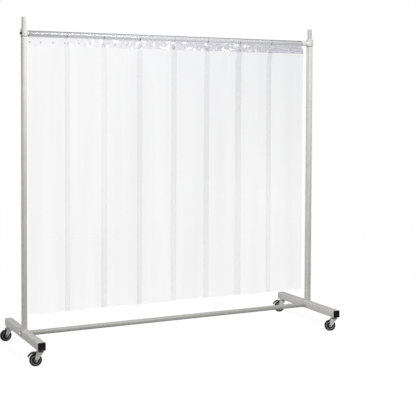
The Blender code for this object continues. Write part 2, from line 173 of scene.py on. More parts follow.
# %% Surroundings and lamps
surroundings = bpy.data.worlds.new("surroundings")
bpy.context.scene.world = surroundings
surroundings.use_nodes = True
nodes, links = surroundings.node_tree.nodes, surroundings.node_tree.links
direction = nodes.new("ShaderNodeTexCoord")
towards_light = nodes.new("ShaderNodeVectorMath")
towards_light.operation = "DOT_PRODUCT"
towards_light.inputs[1].default_value = (-0.80, 0.33, 0.48)
studio = nodes.new("ShaderNodeValToRGB")
studio.color_ramp.elements[0].position, studio.color_ramp.elements[0].color = 0.46, (0.06, 0.055, 0.05, 1)
studio.color_ramp.elements[1].position, studio.color_ramp.elements[1].color = 0.90, (1.08, 1.08, 1.09, 1)
zero_to_one = nodes.new("ShaderNodeMapRange")
zero_to_one.inputs["From Min"].default_value = -1.0
ray = nodes.new("ShaderNodeLightPath")
backdrop = nodes.new("ShaderNodeMix")
backdrop.data_type = "RGBA"
backdrop.inputs["B"].default_value = (1, 1, 1, 1)
links.new(direction.outputs["Generated"], towards_light.inputs[0])
links.new(towards_light.outputs["Value"], zero_to_one.inputs["Value"])
links.new(zero_to_one.outputs["Result"], studio.inputs["Fac"])
links.new(ray.outputs["Is Camera Ray"], backdrop.inputs["Factor"])
links.new(studio.outputs["Color"], backdrop.inputs["A"])
links.new(backdrop.outputs["Result"], nodes["Background"].inputs["Color"])


def lamp(name, place, aim, size, watts, colour=(1, 1, 1)):
    """A square soft lamp that points at a place."""
    light = bpy.data.lights.new(name, "AREA")
    light.shape, light.size, light.energy, light.color = "SQUARE", size, watts, colour
    made = bpy.data.objects.new(name, light)
    bpy.context.scene.collection.objects.link(made)
    made.location = place
    made.rotation_euler = (Vector(aim) - Vector(place)).to_track_quat("-Z", "Y").to_euler()
    return made


key = lamp("lamp_in_front", (0.1, -2.1, 2.5), (0, 0, 1.85), 1.0, 94)
key.visible_camera = False
bpy.context.scene.view_settings.view_transform = "Standard"
bpy.context.scene.cycles.transparent_max_bounces = 48
print("surroundings and lamp made")

# %% [markdown]
# ## Finishes of the steel frame
# The tubes are powder coated: the paint is baked on as powder and keeps a fine ripple, called orange peel.
# A fine noise as bump gives that ripple, and slower ones change shade and gloss a little, so that the long
# tubes don't look printed.

# %% Powder coat
def noise_node(nodes, links, scale, detail=3.0, stretch=None):
    """A noise pattern fixed to the object. Stretch squeezes it along an axis, as brushing does."""
    place = nodes.new("ShaderNodeTexCoord")
    pattern = nodes.new("ShaderNodeTexNoise")
    pattern.inputs["Scale"].default_value = scale
    pattern.inputs["Detail"].default_value = detail
    if stretch:
        mapping = nodes.new("ShaderNodeMapping")
        mapping.inputs["Scale"].default_value = stretch
        links.new(place.outputs["Object"], mapping.inputs["Vector"])
        links.new(mapping.outputs["Vector"], pattern.inputs["Vector"])
    else:
        links.new(place.outputs["Object"], pattern.inputs["Vector"])
    return pattern.outputs["Fac"]


def between(nodes, links, value, low, high, start=0.3, end=0.7):
    """Turn a pattern value into a number or a colour between two ends."""
    if isinstance(low, tuple):
        ramp = nodes.new("ShaderNodeValToRGB")
        ramp.color_ramp.elements[0].position, ramp.color_ramp.elements[0].color = start, (*low, 1)
        ramp.color_ramp.elements[1].position, ramp.color_ramp.elements[1].color = end, (*high, 1)
        links.new(value, ramp.inputs["Fac"])
        return ramp.outputs["Color"]
    spread = nodes.new("ShaderNodeMapRange")
    for socket, number in zip(("From Min", "From Max", "To Min", "To Max"), (start, end, low, high)):
        spread.inputs[socket].default_value = number
    links.new(value, spread.inputs["Value"])
    return spread.outputs["Result"]


def ripple(nodes, links, value, strength, depth):
    """Bump the surface by a pattern."""
    bump = nodes.new("ShaderNodeBump")
    bump.inputs["Strength"].default_value = strength
    bump.inputs["Distance"].default_value = depth
    links.new(value, bump.inputs["Height"])
    return bump.outputs["Normal"]


def powder_coat(name, dark, light, gloss=(0.38, 0.5)):
    finish = bpy.data.materials.new(name)
    nodes, links, shader = nodes_of(finish)
    slow = noise_node(nodes, links, 7.0)
    links.new(between(nodes, links, slow, dark, light), shader.inputs["Base Color"])
    links.new(between(nodes, links, noise_node(nodes, links, 60.0), *gloss), shader.inputs["Roughness"])
    peel = noise_node(nodes, links, 420.0, 1.5)
    links.new(ripple(nodes, links, peel, 0.25, 0.0004), shader.inputs["Normal"])
    shader.inputs["Specular IOR Level"].default_value = 0.45
    return finish


frame_paint = powder_coat("frame_paint", (0.47, 0.46, 0.437), (0.51, 0.50, 0.477))
# The sliding posts' paint is a darker copy of the frame paint: painted shade against the lamp's stronger
# light at their height.
sliding_shaded_paint = powder_coat("sliding_post_shaded_paint", (0.37, 0.365, 0.35), (0.41, 0.405, 0.39))
# The lower rail's paint is a darker copy of the frame paint: painted shade for the dimmer light near the
# floor.
lower_rail_shaded_paint = powder_coat("lower_rail_shaded_paint", (0.355, 0.355, 0.335), (0.395, 0.395, 0.375))
collar_paint = powder_coat("collar_paint", (0.42, 0.42, 0.415), (0.465, 0.465, 0.46))
print("powder coats made")

# %% [markdown]
# ## Plated steel, plastic and rubber
# Bolts, forks and plates are zinc plated, a dull grey metal with a faint cloudy pattern. End caps and
# wheels are moulded plastic with a fine grained skin. The tread is rubber, with a deeper grain.

# %% Plated steel
def plated_steel(name, dark, light, rough, cloud=90.0, metal=1.0):
    finish = bpy.data.materials.new(name)
    nodes, links, shader = nodes_of(finish)
    shader.inputs["Metallic"].default_value = metal
    clouds = noise_node(nodes, links, cloud, 4.0)
    links.new(between(nodes, links, clouds, dark, light), shader.inputs["Base Color"])
    links.new(between(nodes, links, clouds, rough + 0.12, rough), shader.inputs["Roughness"])
    links.new(ripple(nodes, links, noise_node(nodes, links, 700.0), 0.12, 0.0002), shader.inputs["Normal"])
    return finish


zinc = plated_steel("zinc_plating", (0.58, 0.59, 0.57), (0.80, 0.81, 0.79), 0.36, metal=0.55)
dark_zinc = plated_steel("dark_zinc_plating", (0.13, 0.13, 0.125), (0.24, 0.24, 0.23), 0.34)
# Near black plating: the brake lever's own colour, and painted shade where the castor race and the foot bolt
# washers take it.
lever_plating_and_shade = plated_steel("lever_plating_and_shade", (0.05, 0.05, 0.048), (0.11, 0.11, 0.105), 0.4)
bright_steel = plated_steel("bright_fasteners", (0.86, 0.86, 0.85), (0.95, 0.95, 0.94), 0.25)
print("plated steel made")


# %% Plastic and rubber
def moulded(name, dark, light, rough, grain, depth, shine=0.5):
    finish = bpy.data.materials.new(name)
    nodes, links, shader = nodes_of(finish)
    links.new(between(nodes, links, noise_node(nodes, links, 30.0), dark, light), shader.inputs["Base Color"])
    skin = noise_node(nodes, links, grain, 2.0)
    links.new(between(nodes, links, skin, rough, rough + 0.15), shader.inputs["Roughness"])
    links.new(ripple(nodes, links, skin, 0.3, depth), shader.inputs["Normal"])
    shader.inputs["Specular IOR Level"].default_value = shine
    return finish


black_plastic = moulded("black_plastic", (0.006, 0.005, 0.005), (0.012, 0.010, 0.010), 0.5, 900.0,
                        0.0002, 0.2)
grey_plastic = moulded("grey_plastic", (0.50, 0.50, 0.48), (0.56, 0.56, 0.54), 0.45, 900.0, 0.0002)
wheel_plastic = moulded("wheel_plastic", (0.010, 0.010, 0.011), (0.022, 0.022, 0.023), 0.25, 500.0,
                        0.0002, 0.35)
tread_rubber = moulded("tread_rubber", (0.010, 0.010, 0.011), (0.022, 0.021, 0.021), 0.6, 650.0,
                       0.0004, 0.25)
# A grey plastic for the pale ring on the wheel rim: a painted highlight.
rim_highlight_plastic = moulded("rim_highlight_plastic", (0.30, 0.30, 0.30), (0.42, 0.42, 0.42), 0.3, 500.0, 0.0002)
stud_plastic = moulded("stud_plastic", (0.40, 0.41, 0.44), (0.50, 0.51, 0.54), 0.3, 500.0, 0.0001)
stud_plastic.node_tree.nodes["Principled BSDF"].inputs["Alpha"].default_value = 0.34
print("plastic and rubber made")

# %% [markdown]
# ## Clear soft plastic
# The strips are clear PVC film. It passes most of the light, takes a little of it away, faintly blue, and
# mirrors lamps because its surface is smooth. Where two strips overlap, twice as much is taken away. So the
# film is nearly transparent through its Alpha. Where it is seen edge on it is painted paler and more solid, a
# painted reflection, and so it is round the rail, which is painted pale as a painted sheen, with painted dark
# edges at its top and bottom. A slow ripple in the surface breaks up its reflections. Towards the right end
# of the screen and the top the film is darker and less clear. On the flap it grows darker towards the right
# end in blotches, a painted reflection, and carries painted glints. A dark line, partly dirt and partly
# painted shade, marks the rail where one loop meets the next.

# %% Mix and calculate inside a material
def blend(nodes, links, share, first, second):
    """Between two numbers, two colours or two sockets, by a share."""
    mixer = nodes.new("ShaderNodeMix")
    colour = any(isinstance(end, tuple) or getattr(end, "type", "") == "RGBA" for end in (first, second))
    mixer.data_type = "RGBA" if colour else "FLOAT"
    links.new(share, mixer.inputs[0])
    for name, end in (("A", first), ("B", second)):
        socket = [entry for entry in mixer.inputs if entry.name == name and entry.enabled][0]
        if hasattr(end, "is_output"):
            links.new(end, socket)
        else:
            socket.default_value = (*end, 1) if isinstance(end, tuple) else end
    return [entry for entry in mixer.outputs if entry.enabled][0]


def times(nodes, links, first, second, kind="MULTIPLY"):
    """The product of two numbers or sockets, or what another kind of sum makes of them."""
    product = nodes.new("ShaderNodeMath")
    product.operation = kind
    for socket, end in zip(product.inputs, (first, second)):
        if hasattr(end, "is_output"):
            links.new(end, socket)
        else:
            socket.default_value = end
    return product.outputs["Value"]


print("two material helpers ready")

# %% Clear film
rail_middle = (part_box("top_rail_tube")[0][2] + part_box("top_rail_tube")[1][2]) / 2
loop_middles = [joints["strip_%d_swing" % number]["pos_m"][0] for number in (1, 2)]
loop_pitch = loop_middles[1] - loop_middles[0]
first_gap = sum(loop_middles) / 2
loop_end, flap_end = 0.023, 0.080        # how far film on the rail and the flap reach below its middle
rail_blur, flap_blur = 0.0015, 0.001     # half the height over which one changes into the next


def clear_film(name, colour, clear_alpha, far_end_alpha, rough, loop_alpha=0.30, flap_alpha=0.275,
               painted_rail_sheen=(0.50, 0.51, 0.545)):
    """Film that is clear where it hangs and darker to one end, paler on the flap, and painted pale on the
    rail as a painted sheen.

    It is glossy only on the rail, where it is stretched smooth.
    """
    finish = bpy.data.materials.new(name)
    nodes, links, shader = nodes_of(finish)
    place = nodes.new("ShaderNodeTexCoord")
    parts = nodes.new("ShaderNodeSeparateXYZ")
    links.new(place.outputs["Object"], parts.inputs["Vector"])
    x, z = parts.outputs["X"], parts.outputs["Z"]
    # Towards the right end and the top, the film is made darker and less clear.
    along = between(nodes, links, x, 0.0, 1.0, -1.05, 1.10)
    corner = times(nodes, links, along, between(nodes, links, z, 0.12, 1.0, 0.9, 2.1))
    hanging = between(nodes, links, corner, clear_alpha, far_end_alpha, 0.0, 1.0)
    streaks = between(nodes, links, noise_node(nodes, links, 4.0, 3.0, (2.2, 1.0, 0.12)), -0.016, 0.016)
    hanging = times(nodes, links, hanging, streaks, "ADD")

    loop_z, flap_z = rail_middle - loop_end, rail_middle - flap_end
    on_rail = between(nodes, links, z, 0.0, 1.0, loop_z - rail_blur, loop_z + rail_blur)
    on_flap = between(nodes, links, z, 0.0, 1.0, flap_z - flap_blur, flap_z + flap_blur)
    # On the flap, alpha grows towards the right end in blotches: a painted reflection that darkens the flap
    # there.
    crumple = noise_node(nodes, links, 26.0, 3.0, (0.8, 1.0, 1.6))
    crumple = between(nodes, links, crumple, 0.0, 1.0, 0.42, 0.62)
    end_only = between(nodes, links, x, 0.0, 1.0, -0.85, 0.35)
    flap_far_end_shade = times(nodes, links, end_only, between(nodes, links, crumple, 0.70, 1.0, 0.0, 1.0))
    flap = between(nodes, links, flap_far_end_shade, clear_alpha, flap_alpha, 0.0, 1.0)
    # Seen steeply round the rail, the film is painted near black and solid: painted dark reflection at the
    # rail's top and bottom edges.
    slope = nodes.new("ShaderNodeLayerWeight")
    slope.inputs["Blend"].default_value = 0.5
    steep = between(nodes, links, slope.outputs["Facing"], 0.0, 1.0, 0.25, 0.72)
    # A dark line where one loop meets the next, partly dirt and partly painted shade, darkest on the rail's
    # lower half.
    beside = times(nodes, links, times(nodes, links, x, first_gap, "SUBTRACT"), 1 / loop_pitch)
    beside = times(nodes, links, beside, 50.5, "ADD")    # 50 keeps it positive, 0.5 centres it
    beside = times(nodes, links, beside, 0.0, "FRACT")
    beside = times(nodes, links, beside, 0.5, "SUBTRACT")
    meeting = between(nodes, links, times(nodes, links, beside, 0.0, "ABSOLUTE"), 1.0, 0.0, 0.006, 0.013)
    on_top = between(nodes, links, z, 1.0, 0.25, rail_middle - 0.012, rail_middle)
    meeting = times(nodes, links, meeting, on_top)
    shade = times(nodes, links, steep, meeting, "MAXIMUM")
    cover = blend(nodes, links, on_rail, blend(nodes, links, on_flap, hanging, flap),
                  blend(nodes, links, shade, loop_alpha, max(loop_alpha, 0.85)))
    # Seen edge on, the film is painted paler and more solid: a painted reflection.
    edge_on = between(nodes, links, slope.outputs["Facing"], 0.0, 1.0, 0.72, 1.0)
    cover = times(nodes, links, cover, times(nodes, links, edge_on, 0.5), "MAXIMUM")
    links.new(cover, shader.inputs["Alpha"])

    # Painted glints: white spots by noise in the flap's colour, painted highlights.
    painted_glints = between(nodes, links, noise_node(nodes, links, 34.0, 1.0), 0.0, 1.0, 0.58, 0.66)
    painted_glints = times(nodes, links, painted_glints, between(nodes, links, x, 1.0, 0.0, 0.55, 0.78))
    painted_glints = times(nodes, links, painted_glints, between(nodes, links, x, 0.0, 1.0, -0.85, -0.70))
    flap_tint = blend(nodes, links, painted_glints, (0.30, 0.29, 0.35), (0.90, 0.90, 0.92))
    # Round the rail the film is painted pale, a painted sheen, and near black where shade is painted: its top
    # and bottom edges and the line between loops.
    rail_tint = blend(nodes, links, shade, painted_rail_sheen, (0.055, 0.055, 0.062))
    tint = blend(nodes, links, edge_on, colour, (0.72, 0.73, 0.77))
    tint = blend(nodes, links, on_flap, tint, flap_tint)
    tint = blend(nodes, links, on_rail, tint, rail_tint)
    links.new(tint, shader.inputs["Base Color"])
    shader.inputs["IOR"].default_value = 1.53
    links.new(blend(nodes, links, on_rail, 0.5, rough), shader.inputs["Roughness"])
    waves = noise_node(nodes, links, 16.0, 2.0, (1.0, 1.0, 0.4))
    links.new(ripple(nodes, links, waves, 0.5, 0.004), shader.inputs["Normal"])
    return finish


film = clear_film("clear_film", (0.13, 0.135, 0.175), 0.048, 0.11, 0.08)
# The cut edges are painted paler and more solid than the film: a painted highlight where an edge catches
# light.
film_edge_highlight = clear_film("film_cut_edge_highlight", (0.40, 0.42, 0.54), 0.40, 0.50, 0.3, 0.9, 0.55, (0.16, 0.16, 0.20))
print("clear film made")

# %% [markdown]
# ## Tools for modelling
# The pieces are made as by hand: a primitive, edit mode with some faces or edges selected, an operator,
# then the next. These helpers only shorten what repeats: start a box, start a turned shape, select by
# place, round edges, place a finished piece.

# %% Start a piece and pick parts of it
def piece_here(name):
    piece = bpy.context.object
    piece.name = piece.data.name = name
    return piece


def settle(piece, place=(0, 0, 0), turn=(0, 0, 0)):
    """Put a piece at its place and fold that place into its mesh."""
    rest()
    bpy.context.view_layer.objects.active = piece
    piece.select_set(True)
    piece.location, piece.rotation_euler = place, turn
    bpy.ops.object.transform_apply(location=True, rotation=True, scale=True)
    return piece


def box_piece(name, low, high):
    rest()
    low, high = Vector(low), Vector(high)
    bpy.ops.mesh.primitive_cube_add(size=1, location=(low + high) / 2)
    piece = piece_here(name)
    piece.scale = high - low
    bpy.ops.object.transform_apply(location=True, rotation=True, scale=True)
    return piece


def pick(piece, kind, test):
    """Enter edit mode with only those faces or edges selected that pass a test."""
    rest()
    bpy.context.view_layer.objects.active = piece
    piece.select_set(True)
    bpy.ops.object.mode_set(mode="EDIT")
    bpy.ops.mesh.select_mode(type=kind)
    bpy.ops.mesh.select_all(action="DESELECT")
    bpy.ops.object.mode_set(mode="OBJECT")
    mesh = piece.data
    if kind == "FACE":
        for face in mesh.polygons:
            face.select = test(face.center, face.normal)
    else:
        for edge in mesh.edges:
            ends = [mesh.vertices[i].co for i in edge.vertices]
            edge.select = test(*ends)
    bpy.ops.object.mode_set(mode="EDIT")


def done(piece, sharp=35):
    """Leave edit mode with all faces pointing out and round parts smooth."""
    rest()
    bpy.context.view_layer.objects.active = piece
    piece.select_set(True)
    bpy.ops.object.mode_set(mode="EDIT")
    bpy.ops.mesh.select_all(action="SELECT")
    bpy.ops.mesh.remove_doubles(threshold=0.00001)
    bpy.ops.mesh.normals_make_consistent(inside=False)
    bpy.ops.object.mode_set(mode="OBJECT")
    bpy.ops.object.shade_smooth_by_angle(angle=math.radians(sharp))
    return piece


print("helpers to start, pick and finish a piece")

# %% Round edges, turn shapes, join and dress
def runs_along(axis):
    return lambda a, b: abs((b - a).normalized()[axis]) > 0.99


def round_edges(piece, test, radius, segments=4):
    pick(piece, "EDGE", test)
    bpy.ops.mesh.bevel(offset=radius, segments=segments, profile=0.5, affect="EDGES")
    bpy.ops.object.mode_set(mode="OBJECT")
    return piece


def soften(piece, width, segments=2, angle=40):
    """Break all sharp edges a little with a bevel modifier that is applied."""
    rest()
    bpy.context.view_layer.objects.active = piece
    piece.select_set(True)
    bevel = piece.modifiers.new("soften", "BEVEL")
    bevel.width, bevel.segments, bevel.limit_method = width, segments, "ANGLE"
    bevel.angle_limit = math.radians(angle)
    bpy.ops.object.modifier_apply(modifier=bevel.name)
    return piece


def turned(name, rings, sides=48, ring_shape=False):
    """A round shape about Z: a circle extruded and resized through (radius, height) rings.

    A ring shape is closed from its last circle back to its first, as a tyre is. Else both ends are filled.
    """
    rest()
    bpy.ops.mesh.primitive_circle_add(vertices=sides, radius=rings[0][0], location=(0, 0, rings[0][1]))
    piece = piece_here(name)
    bpy.ops.object.transform_apply(location=True, rotation=True, scale=True)
    bpy.ops.object.mode_set(mode="EDIT")
    bpy.ops.mesh.select_mode(type="EDGE")
    bpy.ops.mesh.select_all(action="SELECT")
    for (radius, height), (next_radius, next_height) in zip(rings, rings[1:]):
        bpy.ops.mesh.extrude_edges_move(TRANSFORM_OT_translate={"value": (0, 0, next_height - height)})
        grow = next_radius / radius
        bpy.ops.transform.resize(value=(grow, grow, 1), center_override=(0, 0, next_height))
    bpy.ops.mesh.select_all(action="DESELECT")
    bpy.ops.mesh.select_non_manifold()
    if ring_shape:
        bpy.ops.mesh.bridge_edge_loops()
    else:
        bpy.ops.mesh.fill_holes(sides=0)
    bpy.ops.object.mode_set(mode="OBJECT")
    return piece


def joined(name, pieces):
    rest()
    for piece in pieces:
        piece.select_set(True)
    bpy.context.view_layer.objects.active = pieces[0]
    bpy.ops.object.join()
    return piece_here(name)


def twin(piece, name, move=Matrix()):
    """A copy with a mesh of its own, moved to its place."""
    copy = piece.copy()
    copy.data = piece.data.copy()
    copy.name = copy.data.name = name
    bpy.context.scene.collection.objects.link(copy)
    copy.data.transform(move)
    return copy


def dress(piece, body, finish, slot, *nodes):
    """Give a finished piece its material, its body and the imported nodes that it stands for."""
    if not piece.data.materials:
        piece.data.materials.append(finish)
    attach(piece, body)
    if nodes:
        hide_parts(*nodes)
    return piece


X, Y, Z = 0, 1, 2
TO_X, TO_Y = (0, math.radians(90), 0), (math.radians(-90), 0, 0)
print("modelling tools ready")

# %% [markdown]
# ## Feet
# Each foot is a square steel tube lying on its two castors. Drawn tube has round corners, so the four long
# edges of a box are rounded. A bolt goes through its middle into the lower rail, and its round head and
# washer show on the outer side.

# %% Foot tubes and their end caps
sides = {"left": -1, "right": 1}
cap_plate = 0.0042
for side, out in sides.items():
    low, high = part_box("foot_tube_" + side)
    tube = box_piece("foot_" + side, low, high)
    round_edges(tube, runs_along(Y), 0.004, 5)
    dress(done(tube), "frame", frame_paint, "powder_coat", "foot_tube_" + side)

    for end, towards in (("front", -1), ("back", 1)):
        node = "foot_cap_%s_%s" % (end, side)
        low, high = (Vector(corner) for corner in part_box(node))
        if towards < 0:
            high.y = low.y + cap_plate
        else:
            low.y = high.y - cap_plate
        cap = box_piece("end_cap_%s_%s" % (end, side), low, high)
        round_edges(cap, runs_along(Y), 0.004, 3)
        pick(cap, "FACE", lambda centre, normal: normal.y * towards > 0.9)
        bpy.ops.mesh.inset(thickness=0.0030, depth=0)
        bpy.ops.mesh.inset(thickness=0.0008, depth=-0.0008)
        bpy.ops.object.mode_set(mode="OBJECT")
        soften(cap, 0.0003, 1)
        dress(done(cap), "frame", black_plastic, "black_plastic", node)
print("feet and end caps")

# %% Foot bolts
bolt_rings = [(0.0050, -0.0200), (0.0050, 0.0014), (0.0102, 0.0014), (0.0104, 0.0018), (0.0102, 0.0026),
              (0.0096, 0.0028), (0.0094, 0.0034), (0.0088, 0.0046), (0.0074, 0.0063), (0.0052, 0.0076),
              (0.0034, 0.0081), (0.0030, 0.0080), (0.0026, 0.0058), (0.0004, 0.0056)]
washer_rings = [(0.0052, 0.0000), (0.0158, 0.0000), (0.0160, 0.0004), (0.0158, 0.0012),
                (0.0120, 0.0013), (0.0052, 0.0013)]
for side, out in sides.items():
    low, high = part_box("foot_tube_" + side)
    middle = (Vector(low) + Vector(high)) / 2
    face = low[X] if out < 0 else high[X]
    bolt = settle(turned("foot_bolt_head_" + side, bolt_rings, 40), (face, 0, middle.z),
                  (0, math.radians(90 * out), 0))
    dress(done(bolt), "frame", bright_steel, "fastener_steel", "foot_bolt_" + side)
    # The washer is near black as painted shade: the dark crescent of shade beside the bolt's head.
    washer = turned("foot_bolt_washer_" + side, washer_rings, 40, True)
    settle(washer, (face, 0, middle.z), (0, math.radians(90 * out), 0))
    dress(done(washer), "frame", lever_plating_and_shade, "fastener_steel")
print("foot bolts")

# %% [markdown]
# ## Posts
# The lower posts are rectangular tubes welded upright on the feet. A square tube slides inside each and
# stands out at the top. The weld is a small bead of metal round the foot of the post, painted over with it:
# a low box a little wider than the post and drawn in at its top.

# %% Lower posts, upper posts and welds
bead_width, bead_height = 0.0035, 0.0040
for side, out in sides.items():
    low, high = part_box("lower_post_" + side)
    post = box_piece("post_" + side, low, high)
    round_edges(post, runs_along(Z), 0.003, 4)
    dress(done(post), "frame", frame_paint, "powder_coat", "lower_post_" + side)

    bead = box_piece("post_weld_" + side, (low[X] - bead_width, low[Y] - bead_width, low[Z] - 0.0012),
                     (high[X] + bead_width, high[Y] + bead_width, low[Z] + bead_height))
    round_edges(bead, runs_along(Z), 0.006, 5)
    pick(bead, "FACE", lambda centre, normal: normal.z > 0.9)
    top_middle = ((low[X] + high[X]) / 2, 0, low[Z] + bead_height)
    bpy.ops.transform.resize(value=(0.84, 0.90, 1), center_override=top_middle)
    bpy.ops.object.mode_set(mode="OBJECT")
    soften(bead, 0.0012, 3, 30)
    dress(done(bead, 60), "frame", frame_paint, "powder_coat")

    low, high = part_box("upper_post_" + side)
    inner = box_piece("sliding_post_" + side, low, high)
    round_edges(inner, runs_along(Z), 0.002, 4)
    # The sliding post takes the darker copy of the frame paint, which is painted shade.
    dress(done(inner), "frame", sliding_shaded_paint, "powder_coat", "upper_post_" + side)

    low, high = (Vector(corner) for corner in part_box("upper_post_cap_" + side))
    low.z = high.z - 0.002
    cap = box_piece("sliding_post_cap_" + side, low, high)
    round_edges(cap, runs_along(Z), 0.002, 4)
    soften(cap, 0.0008, 3)
    dress(done(cap), "frame", grey_plastic, "grey_cap", "upper_post_cap_" + side)
print("posts and welds")

# %% [markdown]
# ## Rails
# Both rails are round tube. The upper one ends in two collars, sleeves that slide on the upper posts and
# are clamped there by a screw with a recess in its head.

# %% Rails
# The lower rail takes the darker copy of the frame paint, which is painted shade.
for name, node, body, paint in (("upper_rail", "top_rail_tube", "top_rail", frame_paint),
                                ("lower_rail", "bottom_rail_tube", "frame", lower_rail_shaded_paint)):
    low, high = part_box(node)
    middle = (Vector(low) + Vector(high)) / 2
    radius, half = (high[Y] - low[Y]) / 2, (high[X] - low[X]) / 2
    bore = radius - 0.002
    rail = turned(name, [(bore, -half + 0.01), (bore, -half), (radius, -half), (radius, half),
                         (bore, half), (bore, half - 0.01)], 64)
    settle(rail, middle, TO_X)
    dress(done(rail), body, paint, "powder_coat", node)
print("rails")

# %% Collars and their clamp screws
screw_rings = [(0.0050, -0.0035), (0.0050, 0.0003), (0.0105, 0.0003), (0.0107, 0.0008), (0.0105, 0.0019),
               (0.0086, 0.0021), (0.0087, 0.0080), (0.0084, 0.0094), (0.0074, 0.0101), (0.0048, 0.0101),
               (0.0044, 0.0098), (0.0042, 0.0055), (0.0004, 0.0050)]
for side, out in sides.items():
    low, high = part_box("rail_collar_" + side)
    collar = box_piece("collar_" + side, low, high)
    round_edges(collar, runs_along(Z), 0.0035, 5)
    soften(collar, 0.0012, 3, 60)
    dress(done(collar), "top_rail", collar_paint, "collar_coat", "rail_collar_" + side)

    rail_low, rail_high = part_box("top_rail_tube")
    height, radius = (rail_low[Z] + rail_high[Z]) / 2, (rail_high[Z] - rail_low[Z]) / 2
    inward = high[X] if out < 0 else low[X]
    seam = turned("collar_weld_" + side, [(radius - 0.0005, -0.0008), (radius + 0.0040, -0.0008),
                                           (radius + 0.0042, 0.0006), (radius + 0.0030, 0.0022),
                                           (radius + 0.0012, 0.0034), (radius - 0.0005, 0.0042)], 64, True)
    settle(seam, (inward, 0, height), (0, math.radians(-90 * out), 0))
    dress(done(seam, 70), "top_rail", frame_paint, "powder_coat")

    outer = low[X] if out < 0 else high[X]
    screw = settle(turned("clamp_screw_" + side, screw_rings, 40), (outer, 0, height),
                   (0, math.radians(90 * out), 0))
    dress(done(screw), "top_rail", dark_zinc, "fastener_steel", "collar_clamp_screw_" + side)
print("collars and clamp screws")

# %% [markdown]
# ## Castors
# A castor is a small machine: a plate and a stem fixed to the foot, a ball race, a pressed fork
# that swivels under it, and a wheel on an axle bolt. It is modelled once about its swivel axis with the
# wheel trailing to -X, and copied to the four corners. Each copy takes its place and its turn from the
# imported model's joints.

# %% Castor sizes
swivel = Vector(joints["castor_front_left_swivel"]["pos_m"])
axle_at = Vector(joints["wheel_front_left_spin"]["pos_m"])
trail = (axle_at - swivel).xy.length
wheel_radius = axle_at.z
plate_top = swivel.z - 0.0003
fork_top = plate_top - 0.0091
print("trail %.0f mm, wheel radius %.0f mm" % (trail * 1000, wheel_radius * 1000))

# %% Plate and race
plate = box_piece("castor_plate", (-0.025, -0.025, plate_top - 0.003), (0.025, 0.025, plate_top))
round_edges(plate, runs_along(Z), 0.005, 6)
soften(plate, 0.0005, 2)
race_rings = [(0.0060, 0.001), (0.0192, 0.001), (0.0194, 0.0032), (0.0208, 0.0040), (0.0210, 0.0056),
              (0.0200, 0.0070), (0.0186, 0.0080), (0.0060, 0.0080)]       # (radius, depth below the plate)
race = turned("castor_race", [(radius, plate_top - depth) for radius, depth in race_rings], 48)
stem = turned("castor_stem", [(0.0060, plate_top - 0.002), (0.0060, plate_top + 0.020),
                              (0.0050, plate_top + 0.022)], 24)
# The race takes the near black plating as painted shade: the dark gap between plate and fork.
for piece, look in ((plate, zinc), (race, lever_plating_and_shade), (stem, zinc)):
    piece.data.materials.append(look)
castor_plate = done(joined("castor_plate", [plate, race, stem]))
print("castor plate, race and stem")

# %% [markdown]
# The fork is pressed from one sheet: a round crown with two legs bent down beside the wheel. A leg is
# widest at the crown and narrows to a round eye at the axle. It is drawn as a flat outline: a thin box whose
# lower corners are pulled to the axle and rounded. A shallow sunk field leaves a raised rim round it.

# %% Fork
gap, sheet = 0.034, 0.0025
leg_back, leg_front, leg_top, leg_bend = -0.0275, 0.0160, 0.0015, 0.0070
eye_width, eye_shift = 0.0205, 0.0035


def across(a, b):
    """Whether an edge runs straight through the sheet of a leg."""
    return abs((b - a).normalized().y) > 0.99


def fork_leg(name, y):
    """One leg: a plate whose lower edge is narrowed to the eye and rounded."""
    leg = box_piece(name, (leg_back, y - sheet / 2, fork_top - leg_bend),
                    (leg_front, y + sheet / 2, fork_top - leg_top))
    pick(leg, "FACE", lambda centre, normal: normal.z < -0.9)
    narrowed_at = wheel_radius + 0.002
    down = (0, 0, narrowed_at - fork_top + leg_bend)
    bpy.ops.mesh.extrude_region_move(TRANSFORM_OT_translate={"value": down})
    middle = (leg_back + leg_front) / 2
    bpy.ops.transform.translate(value=(-trail + eye_shift - middle, 0, 0))
    bpy.ops.transform.resize(value=(eye_width / (leg_front - leg_back), 1, 1),
                             center_override=(-trail + eye_shift, y, narrowed_at))
    bpy.ops.mesh.extrude_region_move(TRANSFORM_OT_translate={"value": (-0.0025, 0, -0.0125)})
    bpy.ops.object.mode_set(mode="OBJECT")
    round_edges(leg, lambda a, b: across(a, b) and a.z < wheel_radius, 0.0100, 8)
    round_edges(leg, lambda a, b: across(a, b) and fork_top - 0.0080 < a.z < fork_top - 0.006, 0.004, 4)
    pick(leg, "FACE", lambda centre, normal: normal.y * y > 0 and abs(normal.y) > 0.9)
    bpy.ops.mesh.inset(thickness=0.0014, depth=0)
    bpy.ops.mesh.inset(thickness=0.0006, depth=-0.0007)
    bpy.ops.object.mode_set(mode="OBJECT")
    return leg


near = fork_leg("near_leg", -gap / 2 - sheet / 2)
far = fork_leg("far_leg", gap / 2 + sheet / 2)
crown_rings = [(0.0040, 0), (0.0176, 0), (0.0200, 0.0008), (0.0214, 0.0025), (0.0216, 0.0062),
               (0.0206, 0.0072), (0.0040, 0.0072)]                        # (radius, depth below the top)
crown = turned("crown", [(radius, fork_top - depth) for radius, depth in crown_rings], 48)
web = box_piece("web", (-0.0250, -gap / 2 - sheet * 0.9, fork_top - 0.0058),
                (0.0150, gap / 2 + sheet * 0.9, fork_top - 0.0018))
round_edges(web, lambda a, b: abs((b - a).normalized().x) > 0.99 and a.z > fork_top - 0.003, 0.0022, 4)
round_edges(web, runs_along(Z), 0.004, 3)
castor_fork = done(joined("castor_fork", [near, far, crown, web]))
print("fork with", len(castor_fork.data.polygons), "faces")

